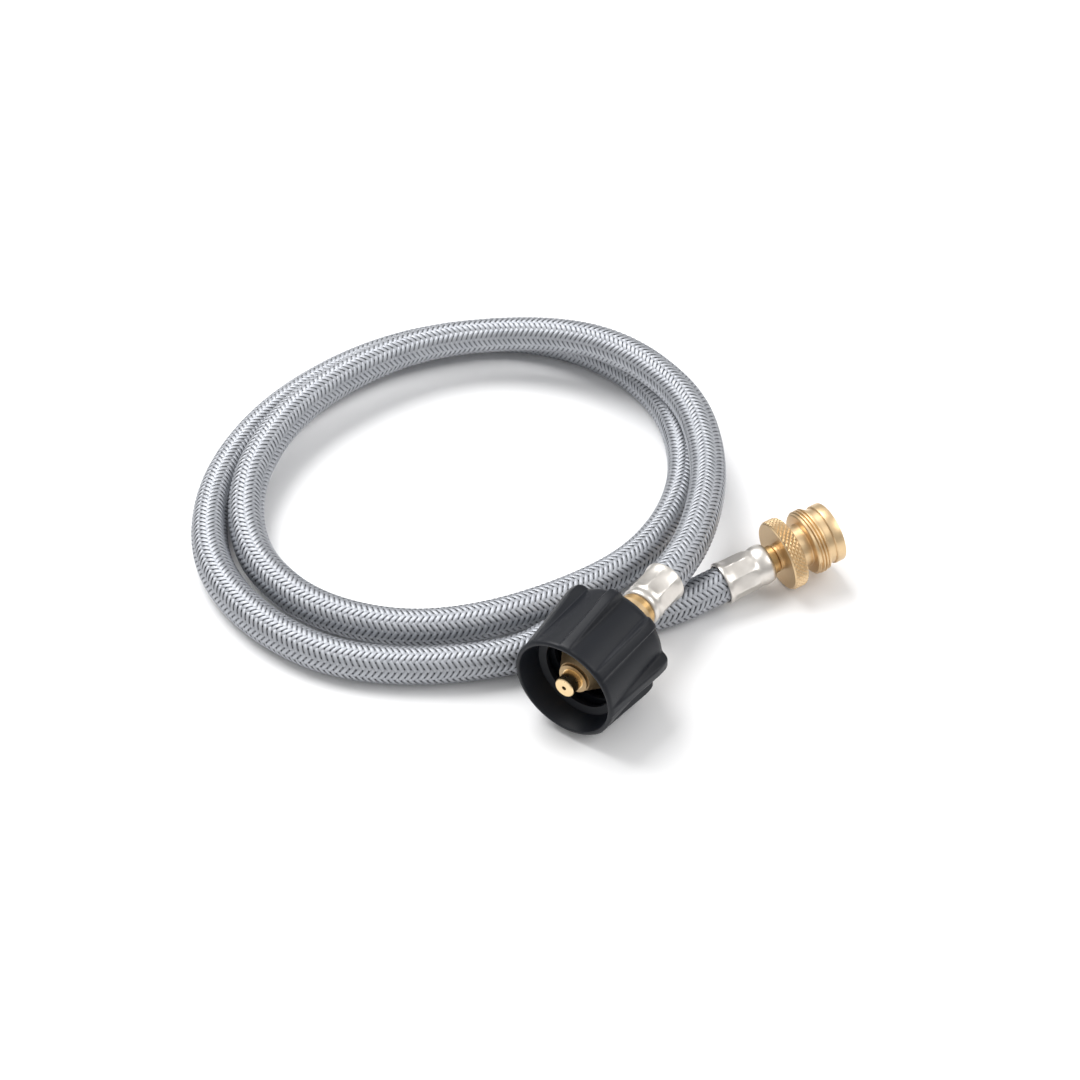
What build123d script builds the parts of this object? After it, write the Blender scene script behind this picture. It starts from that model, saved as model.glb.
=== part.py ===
from build123d import *
import math
import os

# Braided propane adapter hose, about 1.2 m of hose between its fittings, lying in two loose turns.
# One end is a handwheel connector for a propane tank, the other an adapter with a male thread.
# Millimetres, +Z up, standing on z = 0.  The origin is under the middle of the two end fittings.

os.makedirs("parts", exist_ok=True)

# ---- driving dimensions -------------------------------------------------------------------------
hoseRadius = 7.1           # over the steel braid
braidThickness = 0.5
linerBore = 3.2            # quarter-inch gas passage
linerGap = 0.06            # between the rubber and the braid
runningClearance = 0.06    # radial, where one piece turns or slides on another

wheelRadius = 23.2         # over the wings of the handwheel
wheelLength = 36.0
mouthRadius = 20.1
wingCount = 8
acmeMinor = 14.1           # 1-5/16 inch, 5 to the inch, inside the handwheel
acmeMajor = 16.8
acmePitch = 5.08

discRadius = 14.0          # knurled flange of the adapter, whose back edge rests on the floor
threadRadius = 12.7        # 1 inch, 20 to the inch, outside the adapter
threadPitch = 1.27
threadDepth = 0.7
socketRadius = 6.4
socketDepth = 5.0          # free depth above the seal's seat

tankAxisX = -9.93
tankMouthY = -67.19
applianceMouth = (0.89, 20.47, 10.1)     # where the hose enters the appliance ferrule
applianceHeading = 61.76         # degrees from +X
applianceTilt = 9.03             # degrees up, as the adapter rests on its flange
tankFerruleStart = 47.0          # from the handwheel's mouth, along its axis
tankFerruleLength = 18.5
applianceFerruleLength = 20.0
hoseInsert = 14.0                # length of hose inside each ferrule

# ---- places of the two end fittings -------------------------------------------------------------
headingX = math.cos(math.radians(applianceHeading)) * math.cos(math.radians(applianceTilt))
headingY = math.sin(math.radians(applianceHeading)) * math.cos(math.radians(applianceTilt))
headingZ = math.sin(math.radians(applianceTilt))
tankEnd = Plane(origin=(tankAxisX, tankMouthY, wheelRadius), x_dir=(1, 0, 0), z_dir=(0, 1, 0)).location
applianceEnd = Plane(
    origin=applianceMouth,
    x_dir=(headingY, -headingX, 0),
    z_dir=(headingX, headingY, headingZ),
).location


def turned(outline):
    """A lathe part about local Z from (distance along, radius) pairs."""
    points = [(radius, along) for along, radius in outline]
    return revolve(Plane.XZ * make_face(Polyline(*points, close=True)), Axis.Z)


def ring(start, end, inner, outer):
    return turned([(start, inner), (end, inner), (end, outer), (start, outer)])


def coil(start, end, radius, wire, turns):
    """A round-wire compression spring about local Z."""
    path = Helix(pitch=(end - start - wire) / turns, height=end - start - wire, radius=radius)
    section = Plane(origin=path @ 0, z_dir=path % 0) * Circle(wire / 2)
    return Pos(0, 0, start + wire / 2) * sweep(section, path=path, is_frenet=True)


# ---- tank end -----------------------------------------------------------------------------------
def handwheel():
    wallThickness = 3.0
    rearRounding = 4.5
    rearRadius = 19.8
    reliefDepth = 5.6
    reliefRadius = 18.3                 # the open mouth in front of the thread
    shoulder = 25.2                     # where the wheel bears on the bushing's collar
    rearBore = 10.0
    outside = Plane.XZ * make_face([
        Line((reliefRadius, 0), (mouthRadius - 0.8, 0)),
        Line((mouthRadius - 0.8, 0), (mouthRadius, 0.8)),
        Line((mouthRadius, 0.8), (rearRadius, wheelLength - rearRounding)),
        Line((rearRadius, wheelLength - rearRounding), (rearRadius - 1.4, wheelLength - 1.4)),
        Line((rearRadius - 1.4, wheelLength - 1.4), (rearRadius - rearRounding, wheelLength)),
        Line((rearRadius - rearRounding, wheelLength), (rearBore, wheelLength)),
        Line((rearBore, wheelLength), (rearBore, shoulder)),
        Line((rearBore, shoulder), (13.2, shoulder)),
        Line((13.2, shoulder), (13.2, shoulder - 5)),
        Line((13.2, shoulder - 5), (acmeMinor, shoulder - 6)),
        Line((acmeMinor, shoulder - 6), (acmeMinor, reliefDepth)),
        Line((acmeMinor, reliefDepth), (reliefRadius, reliefDepth)),
        Line((reliefRadius, reliefDepth), (reliefRadius, 0)),
    ])
    body = revolve(outside, Axis.Z)
    for turn in range(2):
        low = reliefDepth + 1.3 + turn * acmePitch
        groove = turned([
            (low, acmeMinor - 0.2), (low + 3.3, acmeMinor - 0.2), (low + 2.5, acmeMajor), (low + 0.8, acmeMajor),
        ])
        body -= groove
    wingWidth = 4.2
    side = make_face(Polyline(
        (mouthRadius - wallThickness + 0.6, 1.6), (mouthRadius - 0.1, 1.6), (wheelRadius - 0.1, 26.0),
        (wheelRadius, 28.0), (wheelRadius - 0.8, 30.6), (wheelRadius - 2.6, 32.6),
        (rearRadius - 1.2, 33.6), (mouthRadius - wallThickness + 0.6, 33.6), close=True,
    ))
    wing = extrude(Plane.XZ * side, amount=wingWidth / 2, both=True)
    for index in range(wingCount):
        body += Rot(0, 0, index * 360 / wingCount) * wing
    notchAngle = -50                    # upper right, seen from the mouth with local Y pointing down
    notchRadius = 14.4
    notch = Rot(0, 0, notchAngle) * Pos(notchRadius, 0, wheelLength - 0.6) * Box(2.4, 3.4, 2.4)
    return body - notch


def thermalBushing():
    """Plastic collar and sleeve that the handwheel turns on."""
    bore = 8.0 + runningClearance
    sleeve = 10.0 - runningClearance
    return turned([(21.1, bore), (35.4, bore), (35.4, sleeve), (25.1, sleeve), (25.1, 12.9), (21.1, 12.9)])


def nippleBody():
    """Brass nipple: sealing cone, flange and the shank that everything on this end sits on."""
    return turned([
        (6.2, 4.2), (6.2, 5.7), (7.4, 5.7), (7.4, 6.1), (15.8, 11.0), (20.9, 11.0), (20.9, 8.0),
        (39.0, 8.0), (39.0, 7.3), (40.3, 7.3), (40.3, 8.0), (44.4, 8.0), (44.4, 4.5),
        (36.0, 4.5), (36.0, 2.6), (28.6, 2.6), (28.6, 4.2),
    ])


def nippleNose():
    """The bright tip, pressed into the nipple, with its small gas hole."""
    return turned([
        (0.8, 0.85), (0.8, 3.5), (1.1, 3.8), (6.2, 3.8), (6.2, 4.2), (11.0, 4.2), (11.0, 2.7),
        (3.6, 2.7), (2.8, 0.85),
    ])


def flowPoppet():
    """Excess-flow poppet: a small cone on a hollow skirt that closes on the seat behind it."""
    return turned([(13.0, 0), (12.2, 1.2), (12.2, 3.0), (12.8, 3.6), (16.4, 3.6), (16.4, 2.9), (14.2, 2.9), (14.2, 0)])


def springRetainer():
    return ring(26.6, 28.5, 1.6, 4.2)


def retainingRing():
    """Snap ring in the shank's groove, behind the handwheel, with its gap."""
    return ring(39.05, 40.25, 7.35, 9.6) - Pos(9, 0, 39.65) * Box(6, 3.0, 2)


def stopWasher():
    """Brass washer the handwheel slides back against."""
    return ring(38.15, 38.95, 8.05, 12.5)


def tankStem():
    """Barbed stem between the nipple and the hose."""
    outline = [(36.2, 2.0), (36.2, 4.5), (44.5, 4.5), (44.5, 7.0), (47.6, 7.0), (47.6, 4.1), (50.6, 4.1)]
    for barb in range(3):
        low = 51.2 + barb * 4.2
        outline += [(low, 3.5), (low + 3.6, 3.15), (low + 3.8, 3.5)]
    outline += [(64.4, 2.9), (64.4, 2.0)]
    return turned(outline)


def tankFerrule():
    start = tankFerruleStart
    end = start + tankFerruleLength
    return turned([
        (start + 0.65, 4.15), (start + 0.65, 6.4), (start + 0.9, 7.2), (start + 1.6, 7.6), (start + 3.0, 7.6),
        (start + 4.2, 7.35), (start + 6.0, 7.75), (start + 15.4, 7.75), (end - 0.5, 8.1), (end, 7.9),
        (end, hoseRadius), (start + 4.5, hoseRadius), (start + 3.4, 6.4), (start + 2.2, 6.4), (start + 2.2, 4.15),
    ])


# ---- hose ---------------------------------------------------------------------------------------
# Points of the route, from inside the tank ferrule to inside the appliance ferrule.
hoseRoute = [
    (-9.93, -15.69, 23.2), (-9.93, 9.6, 23.2), (-17.8, 37.6, 23.0), (-32.3, 65.6, 20.8), (-55.3, 90.6, 21.4), (-82.3, 101.6, 22),
    (-105.3, 103.6, 22), (-126.3, 98.6, 20.8), (-148.3, 87.6, 18.2), (-166.3, 71.6, 17.2), (-178.3, 51.6, 17), (-186.3, 24.6, 16.6),
    (-188.3, -3.4, 15.4), (-181.3, -30.4, 13.6), (-172.3, -46.4, 11.6), (-160.3, -59.4, 9.4), (-144.3, -69.4, 7.8),
    (-116.3, -74.4, 7.2), (-85.3, -65.4, 7.2), (-62.3, -45.4, 7.2), (-44.3, -16.4, 7.2), (-33.3, 13.6, 7.2), (-34.3, 44.6, 7.2),
    (-46.3, 73.6, 7.2), (-70.3, 98.6, 7.2), (-98.3, 110.6, 7.2), (-130.3, 110.6, 7.2), (-158.3, 98.6, 7.2), (-181.3, 74.6, 7.2),
    (-196.3, 43.6, 7.2), (-202.3, 3.6, 7.2), (-194.3, -36.4, 7.2), (-175.3, -66.4, 7.2), (-153.3, -83.4, 7.2), (-125.3, -91.4, 7.2),
    (-96.3, -90.4, 7.2), (-71.3, -78.4, 7.2), (-51.3, -61.4, 7.2), (-39.3, -47.4, 7.2), (-35.3, -30.4, 7.2), (-22.3, -15.4, 7.2),
    (-8.8, 1.6, 7.2),
]


def applianceAxisPoint(along):
    return (
        applianceMouth[0] + along * headingX, applianceMouth[1] + along * headingY, applianceMouth[2] + along * headingZ,
    )


def hosePath():
    points = [Vector(*point) for point in hoseRoute]
    points += [Vector(*applianceAxisPoint(-6.0)), Vector(*applianceAxisPoint(hoseInsert))]
    radii = []
    for before, corner, after in zip(points, points[1:], points[2:]):
        arriving = corner - before
        leaving = after - corner
        turn = math.radians(arriving.get_angle(leaving))
        radii.append(0.45 * min(arriving.length, leaving.length) / math.tan(turn / 2))
    path = FilletPolyline(*points, radius=radii)
    print("hose length", round(path.length, 1), "radii", [round(radius) for radius in radii])
    return path


def hoseLayer(path, inner, outer):
    section = Plane(origin=path @ 0, z_dir=path % 0) * (Circle(outer) - Circle(inner))
    layer = sweep(section, path=path)
    expected = math.pi * (outer**2 - inner**2) * path.length
    print("layer volume", round(layer.volume), "expected", round(expected))
    return layer


# ---- appliance end ------------------------------------------------------------------------------
def applianceFerrule():
    end = applianceFerruleLength
    bellMouth = hoseRadius + 0.3         # the hose is still straightening here
    return turned([
        (4.2, hoseRadius), (0, bellMouth), (0, 7.9), (0.5, 8.2), (2.6, 7.7), (12.4, 7.7), (14.2, 7.3), (16.0, 7.7),
        (18.6, 7.7), (19.6, 7.2), (end, 6.4), (end, 4.15), (18.4, 4.15), (18.4, 6.4), (17.0, 6.4),
        (15.8, hoseRadius),
    ])


def applianceStem():
    """Barbed stem whose smooth front end is the swivel's journal."""
    outline = [(0.6, 2.0), (0.6, 2.9)]
    for barb in range(3):
        low = 1.2 + barb * 4.2
        outline += [(low, 3.5), (low + 3.6, 3.15), (low + 3.8, 3.5)]
    outline += [
        (14.4, 4.1), (20.05, 4.1), (20.05, 5.4), (22.6, 5.4), (22.6, 3.9), (25.55, 3.9), (25.55, 3.1),
        (26.95, 3.1), (26.95, 3.9), (28.55, 3.9), (28.55, 2.7), (30.35, 2.7), (30.35, 3.9), (31.55, 3.9), (31.55, 2.0),
    ]
    return turned(outline)


def swivelRing():
    """Split wire ring that keeps the stem in the adapter while it turns."""
    return ring(25.7, 26.8, 3.15, 3.85) - Pos(3.5, 0, 26.25) * Box(2, 1.2, 2)


def swivelSeal():
    return ring(28.65, 30.25, 2.75, 3.9)


def adapterBody():
    """Brass adapter: neck, knurled flange, male thread and end ring round a stepped bore."""
    bore = 3.9 + runningClearance
    flange = 24.2
    rootRadius = threadRadius - threadDepth
    threadStart = 35.3
    front = 47.35
    ringRadius = 11.7
    outline = [
        (22.85, bore), (22.85, 4.6), (23.2, 5.1), (flange, 5.1), (flange, discRadius - 0.5), (flange + 0.5, discRadius),
        (29.5, discRadius), (30.0, discRadius - 0.5), (30.0, 8.2), (threadStart, 8.2), (threadStart, rootRadius),
    ]
    for turn in range(4):
        low = threadStart + 0.25 + turn * threadPitch
        outline += [(low, rootRadius), (low + 0.3, threadRadius), (low + 0.85, threadRadius), (low + 1.15, rootRadius)]
    outline += [
        (40.8, rootRadius), (40.8, 11.0), (43.5, 11.0), (43.5, ringRadius - 0.4), (43.9, ringRadius),
        (front - 0.5, ringRadius), (front, ringRadius - 0.5), (front, socketRadius), (front - socketDepth, socketRadius),
        (front - socketDepth, 6.0), (39.35, 6.0), (39.35, 5.2), (32.95, 5.2), (32.95, bore),
    ]
    return turned(outline)


def valveBody():
    """Insert that holds the check valve in the adapter."""
    return turned([
        (33.55, 2.2), (33.55, 5.2), (39.25, 5.2), (39.25, 1.3 + runningClearance), (37.75, 1.3 + runningClearance),
        (37.75, 3.4), (34.75, 3.4), (34.75, 2.2),
    ])


def valvePin():
    """Pin with a head that the mating fitting pushes off its seat."""
    return turned([(36.45, 0), (36.45, 2.9), (37.55, 2.9), (37.55, 1.3), (41.75, 1.3), (42.15, 0.9), (42.15, 0)])


def outletSeal():
    return ring(39.4, 40.95, 3.2, 5.95)


def build():
    path = hosePath()
    tankPieces = {
        "handwheel": handwheel(),
        "thermal_bushing": thermalBushing(),
        "tank_nipple": nippleBody(),
        "nipple_nose": nippleNose(),
        "excess_flow_poppet": flowPoppet(),
        "excess_flow_spring": coil(16.5, 26.5, 3.0, 0.6, 5),
        "spring_retainer": springRetainer(),
        "retaining_ring": retainingRing(),
        "stop_washer": stopWasher(),
        "tank_stem": tankStem(),
        "tank_ferrule": tankFerrule(),
    }
    appliancePieces = {
        "appliance_ferrule": applianceFerrule(),
        "appliance_stem": applianceStem(),
        "swivel_ring": swivelRing(),
        "swivel_o_ring": swivelSeal(),
        "adapter_body": adapterBody(),
        "valve_body": valveBody(),
        "valve_pin": valvePin(),
        "valve_spring": coil(34.8, 36.4, 2.5, 0.3, 2),
        "outlet_seal": outletSeal(),
    }
    hosePieces = {
        "hose_braid": hoseLayer(path, hoseRadius - braidThickness, hoseRadius),
        "hose_liner": hoseLayer(path, linerBore, hoseRadius - braidThickness - linerGap),
    }
    for name, piece in tankPieces.items():
        export_step(tankEnd * piece, "parts/" + name + ".step")
    for name, piece in appliancePieces.items():
        export_step(applianceEnd * piece, "parts/" + name + ".step")
    for name, piece in hosePieces.items():
        export_step(piece, "parts/" + name + ".step")


build()
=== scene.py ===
import bmesh
import bpy
import math
import numpy as np
from mathutils import Matrix, Vector


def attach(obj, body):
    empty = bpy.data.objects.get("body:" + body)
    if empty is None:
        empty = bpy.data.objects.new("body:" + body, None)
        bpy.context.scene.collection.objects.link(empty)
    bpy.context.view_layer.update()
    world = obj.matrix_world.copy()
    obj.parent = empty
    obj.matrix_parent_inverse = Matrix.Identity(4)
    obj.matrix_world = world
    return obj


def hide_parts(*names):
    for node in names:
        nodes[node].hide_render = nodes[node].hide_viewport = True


# Braided gas hose lying in two loose turns, with a handwheel at one end and a threaded adapter at the other.
# The model is in metres; lengths in the dictionaries are in millimetres and are scaled by mm.

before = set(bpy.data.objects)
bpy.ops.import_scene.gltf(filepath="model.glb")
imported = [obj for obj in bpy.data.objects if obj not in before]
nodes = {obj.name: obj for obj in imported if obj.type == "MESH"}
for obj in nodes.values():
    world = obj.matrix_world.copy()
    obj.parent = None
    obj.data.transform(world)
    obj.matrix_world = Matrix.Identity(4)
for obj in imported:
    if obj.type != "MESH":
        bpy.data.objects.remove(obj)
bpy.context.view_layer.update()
mm = 0.001
mergeGap = 0.002 * mm   # points nearer than this are one point
print("frame loaded", len(nodes), "nodes")


# ---- where the two end fittings stand: local Z runs along each axis, local Y points down

fittings = {
    "tankMouth": (-9.93, -67.19, 23.2),     # centre of the handwheel's open end
    "applianceMouth": (0.89, 20.47, 10.1),  # where the hose enters the front ferrule
    "applianceHeading": 61.76,              # degrees from +X
    "applianceTilt": 9.03,                  # degrees up, as the adapter leans on its knurled rim
}


def axisPlace(origin, heading, tilt):
    turn, rise = math.radians(heading), math.radians(tilt)
    along = Vector((math.cos(rise) * math.cos(turn), math.cos(rise) * math.sin(turn), math.sin(rise)))
    across = Vector((math.sin(turn), -math.cos(turn), 0))
    place = Matrix((across, along.cross(across), along)).transposed().to_4x4()
    place.translation = Vector(origin) * mm
    return place


tankPlace = axisPlace(fittings["tankMouth"], 90, 0)
appliancePlace = axisPlace(
    fittings["applianceMouth"], fittings["applianceHeading"], fittings["applianceTilt"])


# ---- small modelling helpers

def onlySelect(piece):
    bpy.ops.object.select_all(action="DESELECT")
    piece.select_set(True)
    bpy.context.view_layer.objects.active = piece


def startEditing(piece):
    onlySelect(piece)
    bpy.ops.object.mode_set(mode="EDIT")
    bpy.ops.mesh.select_mode(type="VERT")


def stopEditing():
    bpy.ops.object.mode_set(mode="OBJECT")


def pick(piece, kind, rule):  # selects the vertices, edges or faces that the rule accepts
    bpy.ops.mesh.select_mode(type=kind)
    bpy.ops.mesh.select_all(action="DESELECT")
    work = bmesh.from_edit_mesh(piece.data)
    elements = {"VERT": work.verts, "EDGE": work.edges, "FACE": work.faces}[kind]
    chosen = [element for element in elements if rule(element)]
    for element in chosen:
        element.select_set(True)
    work.select_flush_mode()
    bmesh.update_edit_mesh(piece.data)


def profileStart(name, outline):  # a closed chain of edges in the XZ plane from (along, radius) pairs
    bpy.ops.object.select_all(action="DESELECT")
    bpy.ops.mesh.primitive_plane_add(size=mm)
    piece = bpy.context.object
    piece.name = piece.data.name = name
    startEditing(piece)
    bpy.ops.mesh.select_all(action="SELECT")
    bpy.ops.mesh.merge(type="CENTER")
    bpy.ops.transform.translate(value=(outline[0][1] * mm, 0, outline[0][0] * mm))
    stops = list(outline[1:]) + [outline[0]]
    lastAlong, lastRadius = outline[0]
    for along, radius in stops:
        step = ((radius - lastRadius) * mm, 0, (along - lastAlong) * mm)
        bpy.ops.mesh.extrude_vertices_move(TRANSFORM_OT_translate={"value": step})
        lastAlong, lastRadius = along, radius
    bpy.ops.mesh.select_all(action="SELECT")
    bpy.ops.mesh.remove_doubles(threshold=mergeGap)
    return piece


def turned(name, outline, steps):  # a lathe piece about Z
    piece = profileStart(name, outline)
    bpy.ops.mesh.select_all(action="SELECT")
    bpy.ops.mesh.spin(steps=steps, angle=math.tau, center=(0, 0, 0), axis=(0, 0, 1))
    bpy.ops.mesh.select_all(action="SELECT")
    bpy.ops.mesh.remove_doubles(threshold=mergeGap)
    bpy.ops.mesh.normals_make_consistent(inside=False)
    stopEditing()
    return piece


def swell(piece, wanted, scale):  # moves the wanted vertices in or out from Z
    pick(piece, "VERT", lambda vertex: vertex.index in wanted)
    bpy.ops.transform.resize(value=(scale, scale, 1), center_override=(0, 0, 0))


def threadRidge(name, outline, pitch, turns, steps, fade, faded):
    # one ridge wound about Z; its crest sinks to the radius faded over the first and last steps
    piece = profileStart(name, outline)
    stopEditing()
    winding = piece.modifiers.new("winding", "SCREW")
    winding.axis = "Z"
    winding.angle = math.tau * turns
    winding.screw_offset = pitch * mm * turns
    winding.steps = winding.render_steps = round(steps * turns)
    onlySelect(piece)
    bpy.ops.object.modifier_apply(modifier="winding")
    startEditing(piece)
    corners = len(outline)
    crest = max(outline, key=lambda pair: abs(pair[1] - faded))[1]
    work = bmesh.from_edit_mesh(piece.data)
    slices = {}
    for vertex in work.verts:
        radius = math.hypot(vertex.co.x, vertex.co.y) / mm
        if abs(radius - crest) < 0.1 * abs(crest - faded):
            slices.setdefault(vertex.index // corners, set()).add(vertex.index)
    order = sorted(slices)
    for count in range(fade):
        part = 1 - count / fade
        scale = (crest + (faded - crest) * part) / crest
        for end in (order[count], order[-1 - count]):
            swell(piece, slices[end], scale)
    bpy.ops.mesh.select_mode(type="EDGE")
    bpy.ops.mesh.select_all(action="DESELECT")
    bpy.ops.mesh.select_non_manifold()
    bpy.ops.mesh.fill()
    bpy.ops.mesh.select_all(action="SELECT")
    bpy.ops.mesh.normals_make_consistent(inside=False)
    stopEditing()
    return piece


def aroundGroups(piece, low, high, inner, parts):
    # the vertices between two heights and outside a radius, grouped by height and radius
    # and by angle from the nearest of so many spokes
    groups = {}
    work = bmesh.from_edit_mesh(piece.data)
    for vertex in work.verts:
        radius = math.hypot(vertex.co.x, vertex.co.y) / mm
        along = vertex.co.z / mm
        if low - 0.01 < along < high + 0.01 and radius > inner:
            angle = math.degrees(math.atan2(vertex.co.y, vertex.co.x)) % (360 / parts)
            away = round(min(angle, 360 / parts - angle), 2)
            groups.setdefault((round(along, 2), round(radius, 2), away), set()).add(vertex.index)
    return groups


def between(pairs, value):  # straight-line reading of a list of (position, amount) pairs
    return float(np.interp(value, [pair[0] for pair in pairs], [pair[1] for pair in pairs]))


def joinTo(piece, extra):
    bpy.ops.object.select_all(action="DESELECT")
    extra.select_set(True)
    piece.select_set(True)
    bpy.context.view_layer.objects.active = piece
    bpy.ops.object.join()


def settle(piece, place, sharpness):  # puts a finished piece in its place, with its place in its mesh
    piece.matrix_world = place
    onlySelect(piece)
    bpy.ops.object.transform_apply(location=True, rotation=True, scale=True)
    bpy.ops.object.shade_smooth_by_angle(angle=math.radians(sharpness))
    return piece


# ---- shader maths: a Signal is one socket, a Finish is one material

class Signal:
    def __init__(self, finish, socket):
        self.finish, self.socket = finish, socket

    def reckon(self, operation, first, second=0.0):
        return self.finish.add("ShaderNodeMath", {"operation": operation}, {0: first, 1: second})[0]

    def __add__(self, other):
        return self.reckon("ADD", self, other)

    def __radd__(self, other):
        return self.reckon("ADD", other, self)

    def __sub__(self, other):
        return self.reckon("SUBTRACT", self, other)

    def __rsub__(self, other):
        return self.reckon("SUBTRACT", other, self)

    def __mul__(self, other):
        return self.reckon("MULTIPLY", self, other)

    def __rmul__(self, other):
        return self.reckon("MULTIPLY", other, self)

    def __pow__(self, other):
        return self.reckon("POWER", self, other)

    def sine(self):
        return self.reckon("SINE", self)

    def size(self):
        return self.reckon("ABSOLUTE", self)


class Finish:
    def __init__(self, name, **fixed):
        self.material = bpy.data.materials.new(name)
        self.material.use_nodes = True
        self.tree = self.material.node_tree
        self.shader = self.tree.nodes["Principled BSDF"]
        for socket, value in fixed.items():
            self.shader.inputs[socket.replace("_", " ")].default_value = value

    def add(self, kind, settings=None, inputs=None):
        made = self.tree.nodes.new(kind)
        for key, value in (settings or {}).items():
            setattr(made, key, value)
        for key, value in (inputs or {}).items():
            if isinstance(value, Signal):
                self.tree.links.new(value.socket, made.inputs[key])
            else:
                made.inputs[key].default_value = value
        return [Signal(self, socket) for socket in made.outputs]

    def feed(self, socket, signal):
        self.tree.links.new(signal.socket, self.shader.inputs[socket])

    def place(self):  # object coordinates, in metres
        return self.add("ShaderNodeTexCoord")[3]

    def noise(self, scale, detail=3.0, roughness=0.5, where=None):
        return self.add("ShaderNodeTexNoise", {}, {
            "Vector": where or self.place(), "Scale": scale, "Detail": detail, "Roughness": roughness})[0]

    def fade(self, factor, first, second):  # a colour between two others
        return self.add("ShaderNodeMix", {"data_type": "RGBA"}, {0: factor, 6: first, 7: second})[2]

    def bump(self, height, strength, distance):
        self.feed("Normal", self.add("ShaderNodeBump", {}, {
            "Height": height, "Strength": strength, "Distance": distance})[0])


def linear(level):  # one colour level as seen, 0 to 255, as Blender's linear value
    return level / 255 / 12.92 if level < 11 else ((level / 255 + 0.055) / 1.055) ** 2.4


def shade(red, green, blue):
    return linear(red), linear(green), linear(blue), 1.0


# ---- finishes

brassTones = {
    "light": (233, 207, 167), "deep": (206, 175, 132), "neck": (178, 142, 84),
    "cone": (176, 156, 124), "tip": (236, 206, 150),
}
steelTones = {
    "light": (232, 228, 222), "dull": (196, 190, 183),                  # ferrules
    # of the braid tones, the third is painted shade for the grooves between wires and the fourth is painted
    # shade for band edges and under-runs
    "wire": (208, 210, 214), "wireDull": (178, 181, 187), "groove": (120, 123, 130), "gap": (34, 35, 38),
    "springDeep": (150, 150, 152), "springLight": (208, 207, 205),
}
plasticTones = {"slate": (9, 12, 19), "worn": (16, 20, 28), "inner": (10, 11, 13), "innerWorn": (34, 35, 38)}
rubberTones = {"deep": (20, 20, 22), "light": (38, 38, 41)}


def brassFinish(name, light, deep, grain, rough):
    finish = Finish(name, Metallic=1.0)
    where = finish.place()
    cloud = finish.noise(90.0, 4.0, 0.6, where)
    fine = finish.noise(1400.0, 2.0, 0.6, where)
    finish.feed("Base Color", finish.fade(cloud * 0.75 + fine * 0.25, shade(*deep), shade(*light)))
    finish.feed("Roughness", rough + cloud * 0.12 + fine * 0.08)
    finish.bump(fine + cloud * 0.3, grain, 0.00006)
    return finish.material


def ferruleFinish():
    finish = Finish("ferruleSteel", Metallic=1.0)
    where = finish.place()
    cloud = finish.noise(120.0, 3.0, 0.6, where)
    fine = finish.noise(1900.0, 2.0, 0.6, where)
    finish.feed("Base Color", finish.fade(cloud, shade(*steelTones["dull"]), shade(*steelTones["light"])))
    finish.feed("Roughness", 0.27 + cloud * 0.12 + fine * 0.06)
    finish.bump(cloud + fine * 0.15, 0.2, 0.00012)
    return finish.material


def springFinish():
    finish = Finish("springSteel", Metallic=1.0)
    cloud = finish.noise(400.0)
    finish.feed("Base Color", finish.fade(
        cloud, shade(*steelTones["springDeep"]), shade(*steelTones["springLight"])))
    finish.feed("Roughness", 0.25 + cloud * 0.2)
    return finish.material


def braidFinish():  # each carrier is a flat band of fine wires, lying along the band's own UV map
    finish = Finish("braidSteel", Metallic=1.0)
    mapped = finish.add("ShaderNodeUVMap", {"uv_map": "band"})[0]
    split = finish.add("ShaderNodeSeparateXYZ", {}, {0: mapped})
    across, raised = split[0], split[1]        # raised is 1 on top of the weave and 0 underneath
    ripple = (across * (math.pi * 6)).sine().size()          # six wires side by side
    # painted shade along the band's two edges, where it meets the bands beside it
    edge = ((across - 0.5).size() * 2.0) ** 6.0 * 0.7
    # painted shade where the band dips under the crossing bands
    underShade = finish.add("ShaderNodeMapRange", {"interpolation_type": "SMOOTHSTEP"}, {
        0: raised, 1: 0.05, 2: 0.6, 3: 0.4, 4: 0.0})[0]
    paintedShade = finish.add("ShaderNodeMath", {"operation": "MAXIMUM"}, {0: edge, 1: underShade})[0]
    cloud = finish.noise(160.0, 3.0, 0.6)
    bright = finish.fade(cloud, shade(*steelTones["wireDull"]), shade(*steelTones["wire"]))
    # painted shade in the grooves between the wires: the wire colour darkens to the groove shade where
    # ripple falls to zero
    lined = finish.fade(ripple ** 0.5, shade(*steelTones["groove"]), bright)
    # the band colour is painted towards a dark shade tone at its edges and where it runs under
    finish.feed("Base Color", finish.fade(paintedShade, lined, shade(*steelTones["gap"])))
    finish.feed("Roughness", 0.46 + cloud * 0.1 + paintedShade * 0.2)
    finish.bump(ripple, 0.6, 0.00006)
    return finish.material


def coreFinish():
    finish = Finish("rubber")
    cloud = finish.noise(500.0)
    finish.feed("Base Color", finish.fade(cloud, shade(*rubberTones["deep"]), shade(*rubberTones["light"])))
    finish.feed("Roughness", 0.6 + cloud * 0.2)
    finish.bump(cloud, 0.3, 0.0001)
    return finish.material


def plasticFinish(name, low, high, rough):
    finish = Finish(name, Specular_IOR_Level=0.3)
    where = finish.place()
    grain = finish.noise(2600.0, 2.0, 0.7, where)
    cloud = finish.noise(60.0, 3.0, 0.5, where)
    finish.feed("Base Color", finish.fade(cloud * 0.7 + grain * 0.3, shade(*low), shade(*high)))
    finish.feed("Roughness", rough + grain * 0.12)
    finish.bump(grain, 0.35, 0.00008)
    return finish.material


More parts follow.
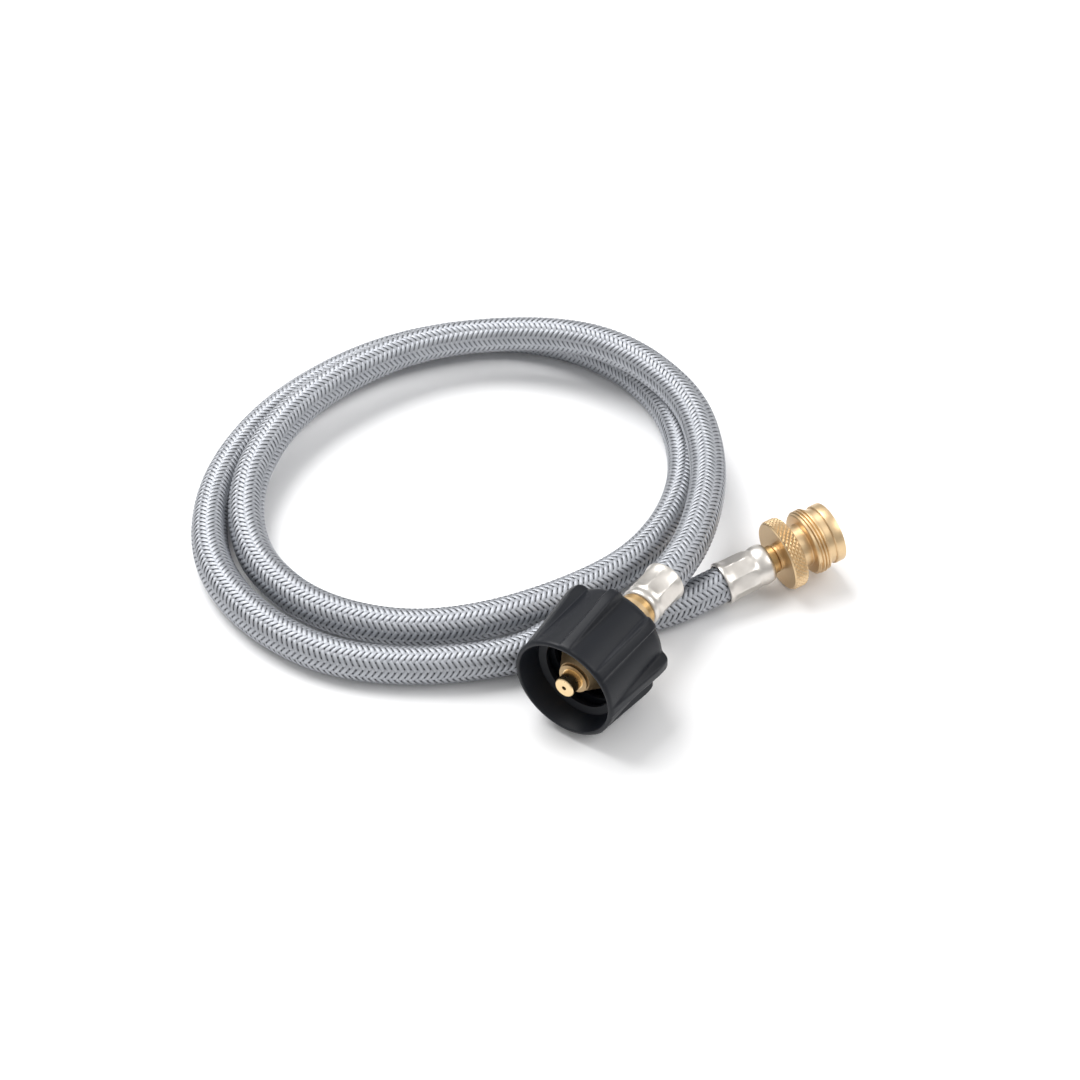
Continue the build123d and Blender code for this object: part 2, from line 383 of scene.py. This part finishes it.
brass = brassFinish("brass", brassTones["light"], brassTones["deep"], 0.25, 0.27)
coneBrass = brassFinish("coneBrass", brassTones["deep"], brassTones["cone"], 0.3, 0.42)
neckBrass = brassFinish("neckBrass", brassTones["deep"], brassTones["neck"], 0.2, 0.24)
brightBrass = brassFinish("brightBrass", brassTones["tip"], brassTones["light"], 0.12, 0.2)
ferruleSteel = ferruleFinish()
springSteel = springFinish()
braidSteel = braidFinish()
rubber = coreFinish()
wheelPlastic = plasticFinish("wheelPlastic", plasticTones["slate"], plasticTones["worn"], 0.38)
bushingPlastic = plasticFinish("bushingPlastic", plasticTones["inner"], plasticTones["innerWorn"], 0.45)

nodeFinishes = {
    "thermal_bushing": bushingPlastic, "tank_nipple": coneBrass, "nipple_nose": brightBrass,
    "excess_flow_poppet": brightBrass, "excess_flow_spring": springSteel, "spring_retainer": brass,
    "retaining_ring": springSteel, "stop_washer": brass, "tank_stem": neckBrass,
    "appliance_stem": neckBrass, "swivel_ring": springSteel, "swivel_o_ring": rubber,
    "valve_body": brass, "valve_pin": brightBrass, "valve_spring": springSteel, "outlet_seal": rubber,
}
for nodeName, material in nodeFinishes.items():
    for slot in nodes[nodeName].material_slots:
        slot.material = material
print("finishes made")


# ---- hose: its line, a dark core, and the woven steel braid

hose = {
    "radius": 7.1,
    "coreRadius": 6.5,
    "length": 1.18,             # metres, from one ferrule's inside to the other's
    "route": [
        (-9.93, -15.69, 23.2), (-9.93, 9.6, 23.2), (-17.8, 37.6, 23), (-32.3, 65.6, 20.8),
        (-55.3, 90.6, 21.4), (-82.3, 101.6, 22), (-105.3, 103.6, 22), (-126.3, 98.6, 20.8),
        (-148.3, 87.6, 18.2), (-166.3, 71.6, 17.2), (-178.3, 51.6, 17), (-186.3, 24.6, 16.6),
        (-188.3, -3.4, 15.4), (-181.3, -30.4, 13.6), (-172.3, -46.4, 11.6), (-160.3, -59.4, 9.4),
        (-144.3, -69.4, 7.8), (-116.3, -74.4, 7.2), (-85.3, -65.4, 7.2), (-62.3, -45.4, 7.2),
        (-44.3, -16.4, 7.2), (-33.3, 13.6, 7.2), (-34.3, 44.6, 7.2), (-46.3, 73.6, 7.2),
        (-70.3, 98.6, 7.2), (-98.3, 110.6, 7.2), (-130.3, 110.6, 7.2), (-158.3, 98.6, 7.2),
        (-181.3, 74.6, 7.2), (-196.3, 43.6, 7.2), (-202.3, 3.6, 7.2), (-194.3, -36.4, 7.2),
        (-175.3, -66.4, 7.2), (-153.3, -83.4, 7.2), (-125.3, -91.4, 7.2), (-96.3, -90.4, 7.2),
        (-71.3, -78.4, 7.2), (-51.3, -61.4, 7.2), (-39.3, -47.4, 7.2), (-35.3, -30.4, 7.2),
        (-22.3, -15.4, 7.2), (-8.8, 1.6, 7.2), (-1.91, 15.25, 9.16), (7.43, 32.65, 12.3),
    ],
    "exit": (-9.93, -1.69, 23.2),
}
braid = {
    "carriers": 12,         # each way round
    "lead": 26.4,           # length along the hose for one turn of a carrier
    "bandWidth": 1.5,
    "bandThickness": 0.26,
    "midRadius": 6.7,
    "lift": 0.2,            # how far a band rises over and dips under the others
    "hidden": 10.0,         # length at each end that stays inside the ferrule
}


def hoseLine(name, bevel):
    line = bpy.data.curves.new(name, "CURVE")
    line.dimensions = "3D"
    line.resolution_u = 12
    line.bevel_depth = bevel
    line.bevel_resolution = 6
    line.use_fill_caps = bevel > 0
    spline = line.splines.new("NURBS")
    spline.points.add(len(hose["route"]) - 1)
    for point, place in zip(spline.points, hose["route"]):
        point.co = (place[0] * mm, place[1] * mm, place[2] * mm, 1)
    spline.order_u = 3
    spline.use_endpoint_u = True
    piece = bpy.data.objects.new(name, line)
    bpy.context.scene.collection.objects.link(piece)
    return piece


def readLine():  # the spline's own points, in order
    guide = hoseLine("hoseGuide", 0)
    bpy.context.view_layer.update()
    drawn = bpy.data.meshes.new_from_object(guide.evaluated_get(bpy.context.evaluated_depsgraph_get()))
    points = np.array([vertex.co[:] for vertex in drawn.vertices])
    bpy.data.objects.remove(guide)
    bpy.data.meshes.remove(drawn)
    return points


def unit(vectors):
    return vectors / np.linalg.norm(vectors, axis=-1, keepdims=True)


def stationsAlong(points, step, hidden):
    # places, directions and two steady cross directions at even steps along the line
    lengths = np.concatenate([[0], np.cumsum(np.linalg.norm(np.diff(points, axis=0), axis=1))])
    marks = np.arange(hidden, lengths[-1] - hidden, step)
    places = np.stack([np.interp(marks, lengths, points[:, axis]) for axis in range(3)], axis=1)
    for _ in range(3):      # takes the facets out of the line
        places[1:-1] = (places[:-2] + 2 * places[1:-1] + places[2:]) / 4
    forward = unit(np.gradient(places, axis=0))
    side = np.zeros_like(places)
    side[0] = unit(np.cross(forward[0], [0, 0, 1.0]))
    for index in range(1, len(places)):
        side[index] = unit(side[index - 1] - forward[index] * np.dot(side[index - 1], forward[index]))
    return marks, places, forward, side, np.cross(forward, side)


def weaveHeight(which):
    # over two, under two, read at half crossings: 0 is the first crossing of the over run
    return np.array([0.82, 1.0, 0.82, 0.0, -0.9, -1.0, -0.9, 0.0])[which % 8]


def carrierBand(line, direction, index):
    marks, places, forward, side, lift = line
    crossing = np.arange(len(marks))                  # half crossings from the start
    turn = direction * (marks - marks[0]) / (braid["lead"] * mm) + index / braid["carriers"]
    angle = math.tau * turn
    out = side * np.cos(angle)[:, None] + lift * np.sin(angle)[:, None]
    sideways = -side * np.sin(angle)[:, None] + lift * np.cos(angle)[:, None]
    column = 4 * index + direction * crossing         # twice the number of the lengthwise row it is in
    start = 0 if direction > 0 else 4
    height = weaveHeight(column - start) * braid["lift"]
    radius = (braid["midRadius"] + height) * mm
    slope = math.atan(math.tau * braid["midRadius"] / braid["lead"])
    across = sideways * math.cos(slope) - direction * forward * math.sin(slope)
    half = braid["bandWidth"] / 2 * mm
    thick = braid["bandThickness"] * mm
    section = [     # sideways, outward, and the reading across the band
        (-half, -0.35 * thick, 0.0), (-0.45 * half, 0.4 * thick, 0.28), (0.45 * half, 0.4 * thick, 0.72),
        (half, -0.35 * thick, 1.0), (0.0, -0.6 * thick, 0.5),
    ]
    middle = places + out * radius[:, None]
    rows = [middle + across * offset + out * rise for offset, rise, _ in section]
    return np.stack(rows, axis=1), [mark for _, _, mark in section], (height / braid["lift"] + 1) / 2


def braidPiece(name, line, direction, indices):
    vertices, faces, marksAcross, marksRaised = [], [], [], []
    for index in indices:
        rows, reading, raised = carrierBand(line, direction, index)
        count, corners = rows.shape[:2]
        base = len(vertices) * count * corners
        vertices.append(rows.reshape(-1, 3))
        station = np.arange(count - 1)[:, None] * corners + base
        here = np.arange(corners)[None, :]
        there = (here + 1) % corners
        after = station + corners
        ring = np.stack([station + here, station + there, after + there, after + here], axis=2)
        faces.append(ring.reshape(-1, 4))
        reading = np.array(reading)
        nextReading = np.roll(reading, -1)
        around = np.stack([reading, nextReading, nextReading, reading], axis=1)
        marksAcross.append(np.tile(around.reshape(-1), count - 1))
        rises = np.stack([raised[:-1], raised[:-1], raised[1:], raised[1:]], axis=1)
        marksRaised.append(np.repeat(rises, corners, axis=0).reshape(-1))
    vertices, faces = np.concatenate(vertices), np.concatenate(faces)
    mesh = bpy.data.meshes.new(name)
    mesh.from_pydata(vertices.tolist(), [], faces.tolist())
    band = mesh.uv_layers.new(name="band")
    readings = np.stack([np.concatenate(marksAcross), np.concatenate(marksRaised)], axis=1)
    band.data.foreach_set("uv", readings.reshape(-1))
    mesh.materials.append(braidSteel)
    piece = bpy.data.objects.new(name, mesh)
    bpy.context.scene.collection.objects.link(piece)
    startEditing(piece)
    bpy.ops.mesh.select_all(action="DESELECT")
    bpy.ops.mesh.select_mode(type="EDGE")
    bpy.ops.mesh.select_non_manifold()
    bpy.ops.mesh.edge_face_add()
    bpy.ops.mesh.select_all(action="SELECT")
    bpy.ops.mesh.normals_make_consistent(inside=False)
    stopEditing()
    onlySelect(piece)
    bpy.ops.object.shade_smooth_by_angle(angle=math.radians(55))
    return piece


hoseCore = hoseLine("hoseCore", hose["coreRadius"] * mm)
hoseCore.data.materials.append(rubber)
linePoints = readLine()
halfCrossing = braid["lead"] / braid["carriers"] / 4 * mm
hoseStations = stationsAlong(linePoints, halfCrossing, braid["hidden"] * mm)
bands = []
for direction, way in ((1, "Right"), (-1, "Left")):
    for group in range(2):
        half = braid["carriers"] // 2
        chosen = range(group * half, (group + 1) * half)
        bands.append(braidPiece(f"braid{way}{group + 1}", hoseStations, direction, chosen))
for band in bands:
    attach(band, "root")
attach(hoseCore, "root")
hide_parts("hose_braid", "hose_liner")
print("hose laid,", len(hoseStations[0]), "stations of braid")


# ---- handwheel: a lathe barrel whose eight wings are drawn out of it

wheel = {
    "steps": 320,
    "barrel": [(0.8, 20.1), (31.5, 19.8), (32.6, 19.55), (33.6, 19.05), (34.4, 18.4), (35.1, 17.5),
               (35.6, 16.5), (35.9, 15.6), (36.0, 14.6), (36.0, 12.0)],
    "rows": [0.8, 1.6, 4, 8, 12, 16, 20, 23, 25, 26.5, 27.5, 28.4, 29.2, 30.0, 30.7, 31.3, 31.9, 32.5,
             33.0, 33.5],
    "wings": 8,
    "wingSpan": (0.8, 33.6), "wingInside": 18.9,
    "wingTop": [(0.8, 20.3), (1.6, 20.5), (14, 21.75), (26, 23.1), (28, 23.2), (30.0, 23.15),
                (31.3, 22.85), (31.9, 22.45), (32.5, 21.85), (33.0, 21.0), (33.5, 19.7), (33.8, 18.9)],
    "wingShape": [(0, 1.0), (3.5, 1.0), (4.6, 0.96), (5.6, 0.8), (6.7, 0.18), (7.9, 0.04), (9.0, 0.0)],
    "bore": [(36.0, 10.3), (35.6, 10.0), (25.2, 10.0), (25.2, 13.2), (20.2, 13.2), (19.6, 16.8),
             (7.4, 16.8), (5.6, 17.7), (0.5, 18.35), (0.1, 18.6), (0.0, 18.8), (0.0, 19.3), (0.25, 19.8)],
    "notch": (50, 14.4, 35.4),      # degrees, radius, along
    "notchSize": (3.0, 3.4, 2.4),
    "acmeRidge": [(7.0, 17.0), (7.9, 14.1), (9.3, 14.1), (10.2, 17.0)],
    "acmePitch": 5.08, "acmeTurns": 2.0, "acmeSteps": 72,
    "acmeFade": 6, "acmeFaded": 16.9,       # steps over which each end dies out, and the radius it dies to
}


def makeHandwheel():
    outer = [(along, between(wheel["barrel"], along)) for along in wheel["rows"]]
    outer += [pair for pair in wheel["barrel"] if pair[0] > wheel["rows"][-1]]
    piece = turned("handwheelShell", outer + wheel["bore"], wheel["steps"])
    startEditing(piece)
    first, last = wheel["wingSpan"]
    groups = aroundGroups(piece, first, last, wheel["wingInside"], wheel["wings"])
    for (along, radius, away), wanted in groups.items():
        rise = between(wheel["wingTop"], along) - radius
        rise *= between(wheel["wingShape"], away)       # away is in degrees from the middle of a wing
        if rise > 0.002:
            swell(piece, wanted, 1 + rise / radius)
    stopEditing()
    ridge = threadRidge("acmeRidge", wheel["acmeRidge"], wheel["acmePitch"], wheel["acmeTurns"],
                        wheel["acmeSteps"], wheel["acmeFade"], wheel["acmeFaded"])
    joinTo(piece, ridge)
    angle, radius, along = wheel["notch"]
    bpy.ops.object.select_all(action="DESELECT")
    bpy.ops.mesh.primitive_cube_add(size=1)
    cutter = bpy.context.object
    cutter.dimensions = [value * mm for value in wheel["notchSize"]]
    turn = math.radians(-angle)
    cutter.location = (radius * math.cos(turn) * mm, radius * math.sin(turn) * mm, along * mm)
    cutter.rotation_euler = (0, 0, turn)
    onlySelect(cutter)
    bpy.ops.object.transform_apply(location=True, rotation=True, scale=True)
    cut = piece.modifiers.new("notch", "BOOLEAN")
    cut.operation, cut.object, cut.solver = "DIFFERENCE", cutter, "EXACT"
    onlySelect(piece)
    bpy.ops.object.modifier_apply(modifier="notch")
    bpy.data.objects.remove(cutter)
    piece.data.materials.clear()
    piece.data.materials.append(wheelPlastic)
    return settle(piece, tankPlace, 38)


handwheel = makeHandwheel()
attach(handwheel, "wheel")
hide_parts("handwheel")
print("handwheel made")


# ---- ferrules: thin steel cups crimped flat on eight sides behind a smooth ring

crimp = {
    "steps": 96,
    "sides": 8,
    "depth": 1.0,           # 1 is a true octagon
    "inside": 7.45,         # nothing nearer the axis than this is flattened
    "tankCrimped": (53.0, 62.4),
    "applianceCrimped": (2.6, 12.4),
    "tank": [(47.65, 4.2), (47.65, 5.9), (47.75, 6.6), (48.0, 7.15), (48.4, 7.5), (49.0, 7.65),
             (49.8, 7.65), (50.4, 7.5), (51.0, 7.38), (51.7, 7.42), (52.4, 7.65), (53.0, 7.8),
             (55.0, 7.85), (57.5, 7.85), (60.0, 7.85), (62.4, 7.85), (63.6, 7.95), (64.8, 8.15),
             (65.3, 8.1), (65.5, 7.85), (65.5, 7.4), (65.2, 7.15), (64.0, 7.1), (51.5, 7.0), (50.4, 6.4),
             (49.85, 6.4), (49.85, 4.2)],
    "appliance": [(0.0, 7.4), (0.0, 7.85), (0.2, 8.1), (0.7, 8.2), (1.9, 7.95), (2.6, 7.85), (5.0, 7.85),
                  (7.5, 7.85), (10.0, 7.85), (12.4, 7.8), (12.9, 7.6), (13.9, 7.34), (14.7, 7.4),
                  (15.4, 7.62), (16.2, 7.75), (17.8, 7.75), (18.8, 7.6), (19.4, 7.3), (19.8, 6.9),
                  (20.0, 6.4), (20.0, 4.2), (18.4, 4.2), (18.4, 6.4), (17.0, 6.4), (15.8, 7.0),
                  (4.2, 7.1), (0.35, 7.15)],
}


def makeFerrule(name, outline, crimped, place):
    piece = turned(name, outline, crimp["steps"])
    startEditing(piece)
    halfSide = 180 / crimp["sides"]
    groups = aroundGroups(piece, crimped[0], crimped[1], crimp["inside"], crimp["sides"])
    for (along, _, away), wanted in groups.items():
        flat = math.cos(math.radians(halfSide)) / math.cos(math.radians(halfSide - away))
        soft = 1 - crimp["depth"] * (1 - flat)
        if abs(along - crimped[0]) < 0.05 or abs(along - crimped[1]) < 0.05:
            soft = (1 + soft) / 2
        swell(piece, wanted, soft)
    stopEditing()
    piece.data.materials.append(ferruleSteel)
    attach(piece, "root")
    return settle(piece, place, 40)


tankFerrule = makeFerrule("tankFerruleCup", crimp["tank"], crimp["tankCrimped"], tankPlace)
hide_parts("tank_ferrule")
frontFerrule = makeFerrule("frontFerruleCup", crimp["appliance"], crimp["applianceCrimped"], appliancePlace)
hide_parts("appliance_ferrule")
print("ferrules made")


# ---- adapter: turned brass with a diamond knurl and a wound thread

adapter = {
    "steps": 72,
    "knurlLow": 24.6, "knurlRows": 3, "knurlPitch": 1.67, "knurlColumns": 42,
    "knurlBase": 13.35, "knurlHeight": 0.6,
    "back": [(22.85, 3.96), (22.85, 4.6), (23.2, 5.1), (24.1, 5.1), (24.2, 5.2), (24.2, 13.05),
             (24.5, 13.25), (29.7, 13.25)],
    "front": [(30.0, 13.0), (30.0, 8.5), (30.3, 8.2), (35.0, 8.2), (35.3, 8.4), (35.3, 11.6),
              (35.65, 12.0), (40.5, 12.0), (40.8, 11.8), (40.8, 11.15), (41.0, 11.0), (43.4, 11.0),
              (43.5, 11.1), (43.5, 11.4), (43.8, 11.65), (44.1, 11.7), (46.85, 11.7), (47.1, 11.65),
              (47.35, 11.35), (47.35, 6.8), (47.05, 6.4), (42.35, 6.4), (42.35, 6.0), (39.35, 6.0),
              (39.35, 5.2), (32.95, 5.2), (32.95, 3.96)],
    "thread": [(35.45, 11.9), (35.7, 12.35), (35.85, 12.66), (35.95, 12.7), (36.15, 12.7), (36.25, 12.66),
               (36.4, 12.35), (36.65, 11.9)],
    "threadPitch": 1.27, "threadTurns": 3.2, "threadSteps": 72,
    "threadFade": 20, "threadFaded": 12.0,
}


def makeAdapter():
    low, pitch, base = adapter["knurlLow"], adapter["knurlPitch"], adapter["knurlBase"]
    rim = [(low + pitch * row, base) for row in range(adapter["knurlRows"] + 1)]
    high = rim[-1][0]
    piece = turned("adapterShell", adapter["back"] + adapter["front"], adapter["steps"])
    band = turned("knurlBand", [(low - 0.15, base - 0.5), (low - 0.15, base - 0.15)] + rim
                  + [(high + 0.15, base - 0.15), (high + 0.15, base - 0.5)], adapter["knurlColumns"])
    startEditing(band)

    def onRim(place, slack):
        outside = math.hypot(place.x, place.y) > (base - 0.12) * mm
        return outside and (low - slack) * mm < place.z < (high + slack) * mm

    def rimFace(face, slack):
        return onRim(face.calc_center_median(), slack) and all(onRim(v.co, 0.02) for v in face.verts)

    def atEdges(face):      # how many of its corners lie on the rim's two edges
        return len([v for v in face.verts if not low + 0.1 < v.co.z / mm < high - 0.1])

    pick(band, "FACE", lambda face: rimFace(face, 0))
    bpy.ops.mesh.poke()
    straight = set()
    work = bmesh.from_edit_mesh(band.data)
    for edge in work.edges:       # the squares' own sides go, so that their diagonals leave diamonds
        if len(edge.link_faces) == 2 and all(len(face.verts) == 3 for face in edge.link_faces):
            step = edge.verts[0].co - edge.verts[1].co
            if abs(step.z) < 0.02 * pitch * mm or abs(step.z) > 0.95 * pitch * mm:
                straight.add(edge.index)
    pick(band, "EDGE", lambda edge: edge.index in straight)
    bpy.ops.mesh.dissolve_edges(use_verts=False)
    pick(band, "FACE", lambda face: rimFace(face, 0) and len(face.verts) == 4)
    bpy.ops.mesh.poke(offset=adapter["knurlHeight"] * mm)
    pick(band, "FACE", lambda face: rimFace(face, -0.05) and atEdges(face) == 2)
    bpy.ops.mesh.poke(offset=adapter["knurlHeight"] * 0.6 * mm)
    bpy.ops.mesh.select_all(action="SELECT")
    bpy.ops.mesh.normals_make_consistent(inside=False)
    stopEditing()
    joinTo(piece, band)
    ridge = threadRidge("threadRidge", adapter["thread"], adapter["threadPitch"], adapter["threadTurns"],
                        adapter["threadSteps"], adapter["threadFade"], adapter["threadFaded"])
    joinTo(piece, ridge)
    piece.data.materials.clear()
    piece.data.materials.append(brass)
    return settle(piece, appliancePlace, 22)


adapterShell = makeAdapter()
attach(adapterShell, "adapter")
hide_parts("adapter_body")
print("adapter made")

bands + [frontFerrule, nodes["appliance_stem"]]


# ---- floor, light and camera

studio = {
    "floorSize": 8.0,
    "floorTone": (243, 243, 244), "floorLight": (248, 248, 248),
    "keyPlace": (-0.98, 0.1, 1.4), "keySize": 1.3, "keyPower": 26.0,
    "fillPlace": (0.9, 0.5, 1.1), "fillSize": 0.9, "fillPower": 7.0,
    "lampAim": (-0.07, 0.01, 0.0),
    "skyStrength": 0.78,
    "cameraPlace": (0.281, -0.4963, 0.577),
    "cameraAim": (-0.0739, 0.0106, 0.0),
    "cameraLens": 73.3,
}


def makeFloor():
    bpy.ops.object.select_all(action="DESELECT")
    bpy.ops.mesh.primitive_plane_add(size=studio["floorSize"])
    floor = bpy.context.object
    floor.name = "studioFloor"
    finish = Finish("paleFloor", Roughness=0.7)
    cloud = finish.noise(3.0, 2.0)
    finish.feed("Base Color", finish.fade(cloud, shade(*studio["floorTone"]), shade(*studio["floorLight"])))
    floor.data.materials.append(finish.material)


def facing(place, aim):
    return (Vector(aim) - Vector(place)).to_track_quat("-Z", "Y").to_euler()


def areaLight(name, place, size, power):
    lamp = bpy.data.lights.new(name, "AREA")
    lamp.shape, lamp.size, lamp.energy = "DISK", size, power
    holder = bpy.data.objects.new(name, lamp)
    holder.location = place
    holder.rotation_euler = facing(place, studio["lampAim"])
    bpy.context.scene.collection.objects.link(holder)


def makeSky():
    world = bpy.data.worlds.new("studioLight")
    bpy.context.scene.world = world
    world.use_nodes = True
    tree = world.node_tree
    where = tree.nodes.new("ShaderNodeTexCoord")
    split = tree.nodes.new("ShaderNodeSeparateXYZ")
    ramp = tree.nodes.new("ShaderNodeValToRGB")
    for position, level in ((0.15, 0.5), (0.5, 0.85)):
        ramp.color_ramp.elements.new(position).color = (level, level, level, 1)
    ramp.color_ramp.elements[0].color = (0.42, 0.42, 0.43, 1)
    ramp.color_ramp.elements[-1].color = (1, 1, 1, 1)
    tree.links.new(where.outputs["Generated"], split.inputs[0])
    tree.links.new(split.outputs["Z"], ramp.inputs[0])
    tree.links.new(ramp.outputs[0], tree.nodes["Background"].inputs["Color"])
    tree.nodes["Background"].inputs["Strength"].default_value = studio["skyStrength"]


makeFloor()
areaLight("keyLight", studio["keyPlace"], studio["keySize"], studio["keyPower"])
areaLight("fillLight", studio["fillPlace"], studio["fillSize"], studio["fillPower"])
makeSky()
bpy.context.scene.view_settings.view_transform = "Standard"
cameraData = bpy.data.cameras.new("mainCamera")
cameraData.lens, cameraData.sensor_width = studio["cameraLens"], 36.0
camera = bpy.data.objects.new("mainCamera", cameraData)
camera.location = studio["cameraPlace"]
camera.rotation_euler = facing(studio["cameraPlace"], studio["cameraAim"])
bpy.context.scene.collection.objects.link(camera)
bpy.context.scene.camera = camera
print("floor, light and camera set")
